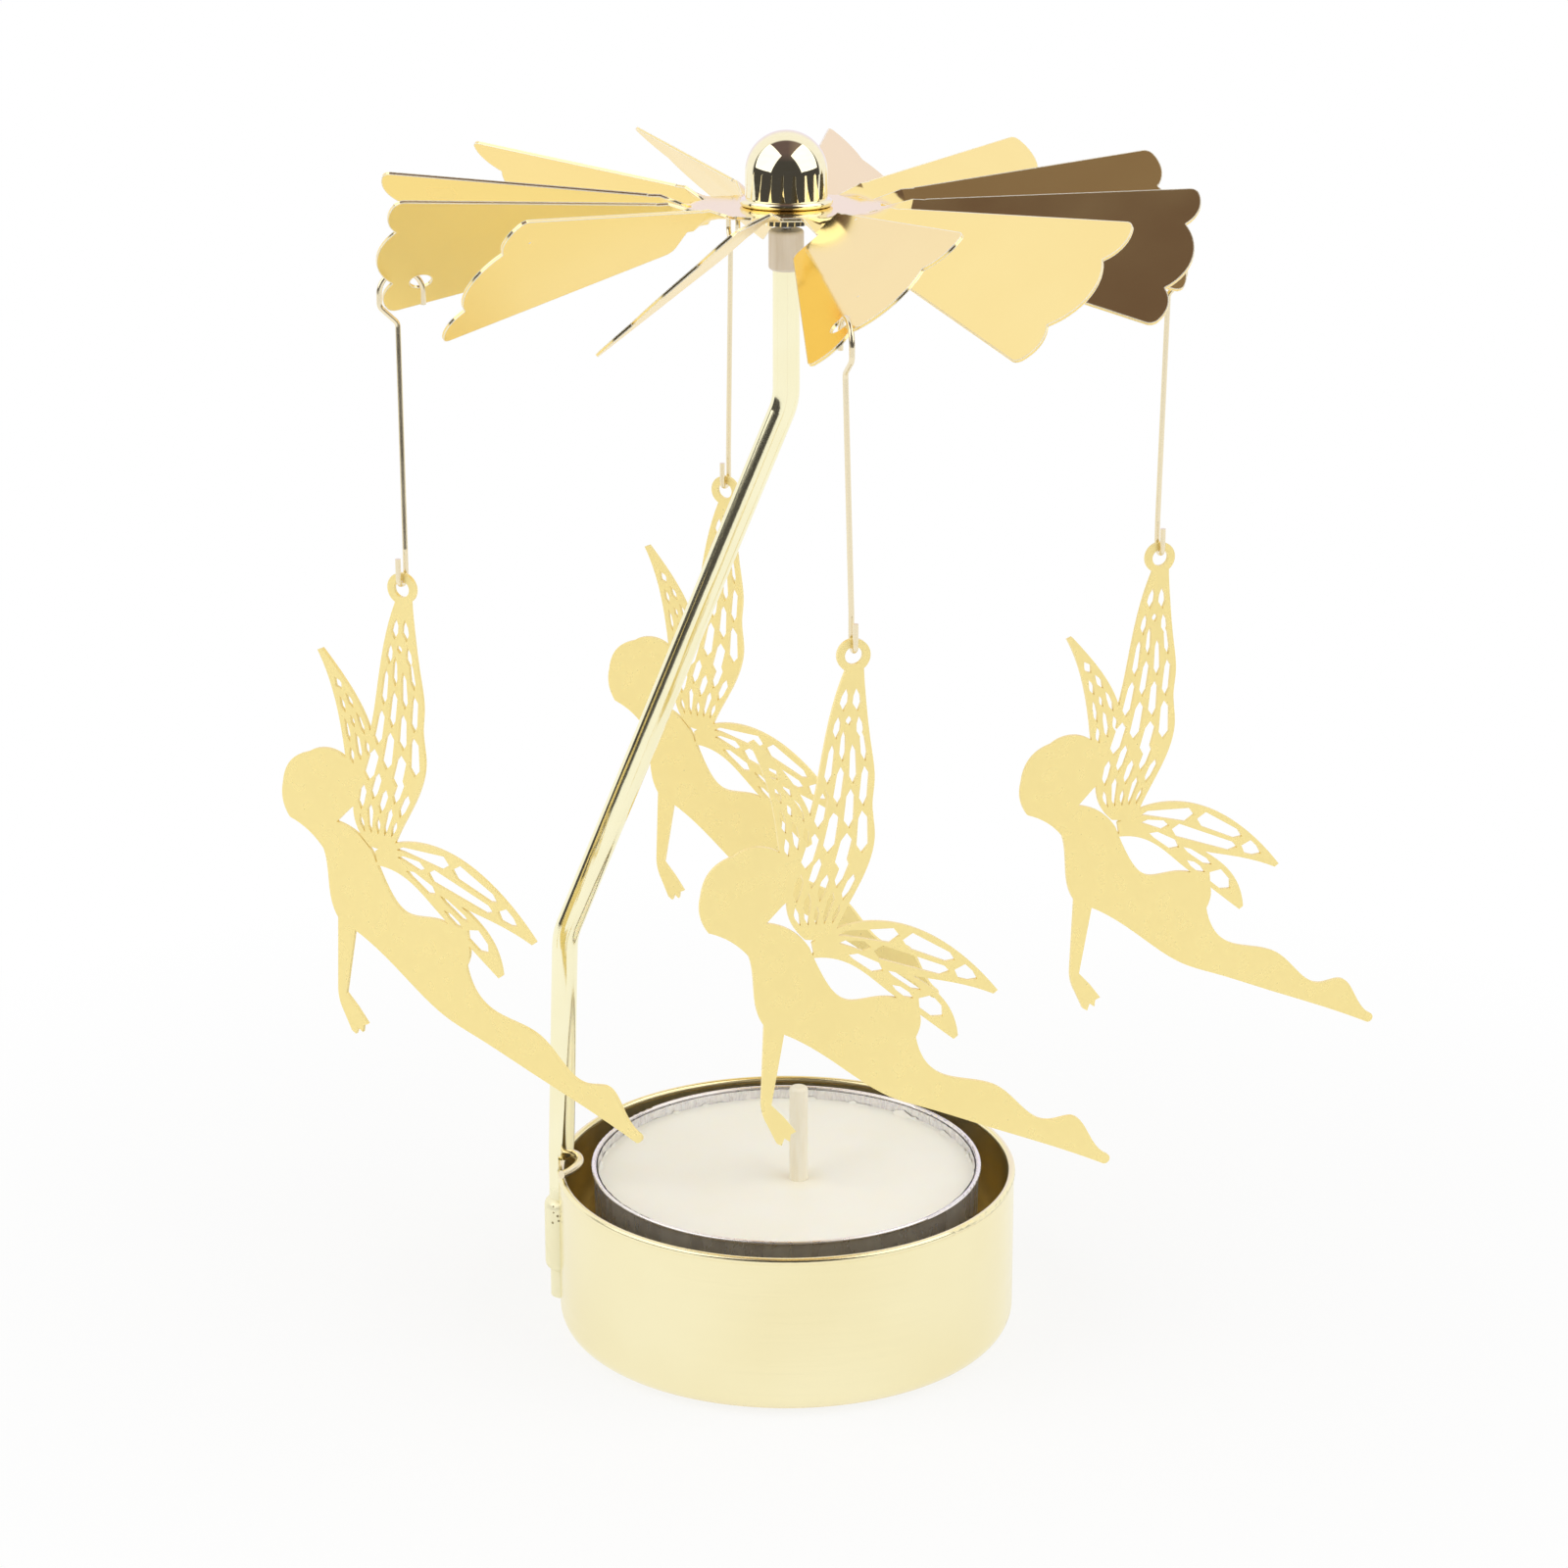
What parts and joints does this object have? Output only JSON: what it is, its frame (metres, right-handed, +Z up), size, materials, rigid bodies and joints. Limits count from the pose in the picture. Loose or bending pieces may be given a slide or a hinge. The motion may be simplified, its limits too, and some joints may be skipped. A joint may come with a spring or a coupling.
{
  "type": "rotating tealight carousel",
  "caption": "Gold candle cup with a bent rod; its needle carries a vaned rotor that hangs flat winged figures on wires and turns above the tealight's warm air.",
  "frame": {"origin": "centre of the cup's flat underside, on the rotor's axis", "axes": "+Z up along the rotor's axis; the rod's foot is at -X; the picture looks along +Y"},
  "size_m": [0.1056, 0.0811, 0.1178],
  "materials": {
    "gold_cup": "satin gold plating on spun sheet",
    "gold_rod": "polished gold plating",
    "gold_rotor": "polished gold plating on stamped sheet",
    "gold_dome": "mirror-polished gold plating",
    "gold_wire": "polished gold plating on wire",
    "gold_figure": "satin gold plating on etched sheet",
    "ferrule": "matt beige-grey",
    "needle_steel": "ground steel point",
    "tealight_tin": "thin bright aluminium",
    "wax": "cream paraffin wax, slightly translucent",
    "wick": "waxed cotton",
    "sustainer_tin": "thin tin plate"
  },
  "bodies": {
    "stand": {"base_cup": "gold_cup", "support_rod": "gold_rod", "rim_hook": "gold_wire", "needle_ferrule": "ferrule", "pivot_needle": "needle_steel"},
    "rotor": {"rotor_plate": "gold_rotor", "dome_cap": "gold_dome", "hub_washer": "gold_dome"},
    "tealight": {"tealight_shell": "tealight_tin", "tealight_wax": "wax", "tealight_wick": "wick", "wick_sustainer": "sustainer_tin"},
    "left_hanger": {"hanger_left": "gold_wire"},
    "left_figure": {"figure_left": "gold_figure"},
    "front_hanger": {"hanger_front": "gold_wire"},
    "front_figure": {"figure_front": "gold_figure"},
    "right_hanger": {"hanger_right": "gold_wire"},
    "right_figure": {"figure_right": "gold_figure"},
    "back_hanger": {"hanger_back": "gold_wire"},
    "back_figure": {"figure_back": "gold_figure"}
  },
  "joints": [
    {"name": "rotor_spin", "type": "hinge", "parent": "stand", "child": "rotor", "pos_m": [0, 0, 0.1153], "axis": [0, 0, 1], "continuous": true},
    {"name": "tealight_lift", "type": "slide", "parent": "stand", "child": "tealight", "axis": [0, 0, 1], "range_m": [0, 0.025]},
    {"name": "left_hanger_swing", "type": "hinge", "parent": "rotor", "child": "left_hanger", "pos_m": [-0.03469, -0.00612, 0.10423], "axis": [-0.2438, 0.9698, 0], "range_deg": [0, 20]},
    {"name": "left_figure_swing", "type": "hinge", "parent": "left_hanger", "child": "left_figure", "pos_m": [-0.03505, -0.00929, 0.07738], "axis": [-0.454, -0.891, 0], "range_deg": [-7, 7]},
    {"name": "front_hanger_swing", "type": "hinge", "parent": "rotor", "child": "front_hanger", "pos_m": [0.00503, -0.03549, 0.10686], "axis": [-0.9726, -0.2324, 0], "range_deg": [0, 20]},
    {"name": "front_figure_swing", "type": "hinge", "parent": "front_hanger", "child": "front_figure", "pos_m": [0.00575, -0.03588, 0.07941], "axis": [0.2689, -0.9632, 0], "range_deg": [-7, 7]},
    {"name": "right_hanger_swing", "type": "hinge", "parent": "rotor", "child": "right_hanger", "pos_m": [0.03491, 0.0045, 0.1044], "axis": [0.231, -0.9729, 0], "range_deg": [0, 20]},
    {"name": "right_figure_swing", "type": "hinge", "parent": "right_hanger", "child": "right_figure", "pos_m": [0.03512, 0.00398, 0.07645], "axis": [0.3355, -0.9421, 0], "range_deg": [-7, 7]},
    {"name": "back_hanger_swing", "type": "hinge", "parent": "rotor", "child": "back_hanger", "pos_m": [-0.00523, 0.03407, 0.10213], "axis": [0.9714, 0.2373, 0], "range_deg": [0, 20]},
    {"name": "back_figure_swing", "type": "hinge", "parent": "back_hanger", "child": "back_figure", "pos_m": [-0.0061, 0.0346, 0.07448], "axis": [-0.4695, -0.8829, 0], "range_deg": [-7, 7]}
  ]
}
